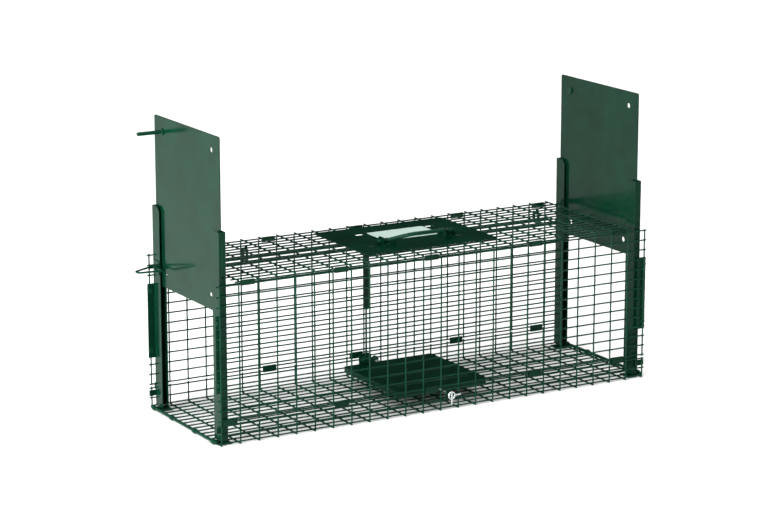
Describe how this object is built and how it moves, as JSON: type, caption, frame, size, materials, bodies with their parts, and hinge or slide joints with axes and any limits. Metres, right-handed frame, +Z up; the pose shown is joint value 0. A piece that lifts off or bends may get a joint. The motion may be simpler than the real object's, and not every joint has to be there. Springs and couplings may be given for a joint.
{
  "type": "live catch trap",
  "caption": "Wire mesh live catch trap with a drop door at each end held by rods from a tipping treadle, a folding carry handle and flip latches.",
  "frame": {"origin": "middle of the trap on the ground plane under the floor mesh", "axes": "+X along the cage to the right-hand door, +Y across to the wall that carries the latches, +Z up"},
  "size_m": [0.6748, 0.2022, 0.373],
  "materials": {
    "coated_sheet": "dark green gloss powder coat on sheet steel",
    "coated_wire": "dark green gloss dip coat on steel wire",
    "zinc_wire": "bright zinc plate",
    "label": "blank pale mint film label"
  },
  "bodies": {
    "cage": {"side_mesh_near": "coated_wire", "side_mesh_far": "coated_wire", "tray_side_near": "coated_wire", "tray_side_far": "coated_wire", "floor_mesh": "coated_wire", "top_mesh": "coated_wire", "clips_top_near": "coated_sheet", "clips_top_far": "coated_sheet", "clips_seam_near": "coated_sheet", "clips_seam_far": "coated_sheet", "end_bar_left": "coated_wire", "end_bar_right": "coated_wire", "bar_collars_left": "coated_sheet", "bar_collars_right": "coated_sheet", "guide_left_near": "coated_sheet", "guide_left_far": "coated_sheet", "guide_right_near": "coated_sheet", "guide_right_far": "coated_sheet", "guide_bracket_left_near": "coated_sheet", "guide_bracket_left_far": "coated_sheet", "guide_bracket_right_near": "coated_sheet", "guide_bracket_right_far": "coated_sheet", "seam_straps": "coated_sheet", "bracket_rivets": "coated_sheet", "foot_plates": "coated_sheet", "latch_clip_left": "coated_sheet", "latch_clip_right": "coated_sheet", "handle_plate": "coated_sheet", "plate_tongues": "coated_wire", "label_plate": "label", "handle_lug_left": "coated_sheet", "handle_lug_right": "coated_sheet", "lug_rivets": "coated_sheet", "rocker_bracket": "coated_sheet", "rod_hanger_left": "coated_sheet", "rod_hanger_right": "coated_sheet", "treadle_axle": "zinc_wire", "axle_ring": "zinc_wire", "axle_bushes": "coated_sheet", "treadle_stop": "coated_sheet"},
    "left_door": {"door_left": "coated_sheet", "lift_pin_left": "coated_wire"},
    "right_door": {"door_right": "coated_sheet", "lift_pin_right": "coated_wire"},
    "left_latch": {"latch_left": "coated_wire"},
    "right_latch": {"latch_right": "coated_wire"},
    "carry_handle": {"handle": "coated_wire"},
    "treadle": {"treadle_plate": "coated_sheet", "treadle_lugs": "coated_sheet", "treadle_ear": "coated_sheet"},
    "link": {"link_bar": "coated_sheet", "link_wire": "coated_wire"},
    "rocker": {"rocker": "coated_sheet", "rocker_shaft": "coated_sheet", "shaft_collars": "coated_sheet"},
    "left_rod": {"trigger_rod_left": "coated_wire"},
    "right_rod": {"trigger_rod_right": "coated_wire"}
  },
  "joints": [
    {"name": "left_door_slide", "type": "slide", "parent": "cage", "child": "left_door", "axis": [0, 0, 1], "range_m": [-0.155, 0]},
    {"name": "right_door_slide", "type": "slide", "parent": "cage", "child": "right_door", "axis": [0, 0, 1], "range_m": [-0.155, 0]},
    {"name": "treadle_tip", "type": "hinge", "parent": "cage", "child": "treadle", "pos_m": [0.014, 0, 0.0185], "axis": [0, -1, 0], "range_deg": [0, 8]},
    {"name": "link_pull", "type": "slide", "parent": "cage", "child": "link", "axis": [0, 0, -1], "range_m": [0, 0.00392]},
    {"name": "rocker_turn", "type": "hinge", "parent": "cage", "child": "rocker", "pos_m": [-0.007, 0, 0.181], "axis": [0, -1, 0], "range_deg": [0, 32.1]},
    {"name": "left_rod_draw", "type": "slide", "parent": "cage", "child": "left_rod", "axis": [1, 0, 0], "range_m": [0, 0.0056]},
    {"name": "right_rod_draw", "type": "slide", "parent": "cage", "child": "right_rod", "axis": [-1, 0, 0], "range_m": [0, 0.0056]},
    {"name": "left_latch_flip", "type": "hinge", "parent": "cage", "child": "left_latch", "pos_m": [-0.3052, 0.071, 0.184], "axis": [0, 1, 0], "range_deg": [0, 90]},
    {"name": "right_latch_flip", "type": "hinge", "parent": "cage", "child": "right_latch", "pos_m": [0.3052, 0.071, 0.184], "axis": [0, -1, 0], "range_deg": [0, 90]},
    {"name": "handle_fold", "type": "hinge", "parent": "cage", "child": "carry_handle", "pos_m": [0.008, -0.024, 0.2072], "axis": [-1, 0, 0], "range_deg": [0, 136]}
  ],
  "couplings": [
    {"joint": "link_pull", "follows": "treadle_tip", "m_per_rad": 0.028},
    {"joint": "rocker_turn", "follows": "treadle_tip", "ratio": 4},
    {"joint": "left_rod_draw", "follows": "treadle_tip", "m_per_rad": 0.04},
    {"joint": "right_rod_draw", "follows": "treadle_tip", "m_per_rad": 0.04}
  ]
}
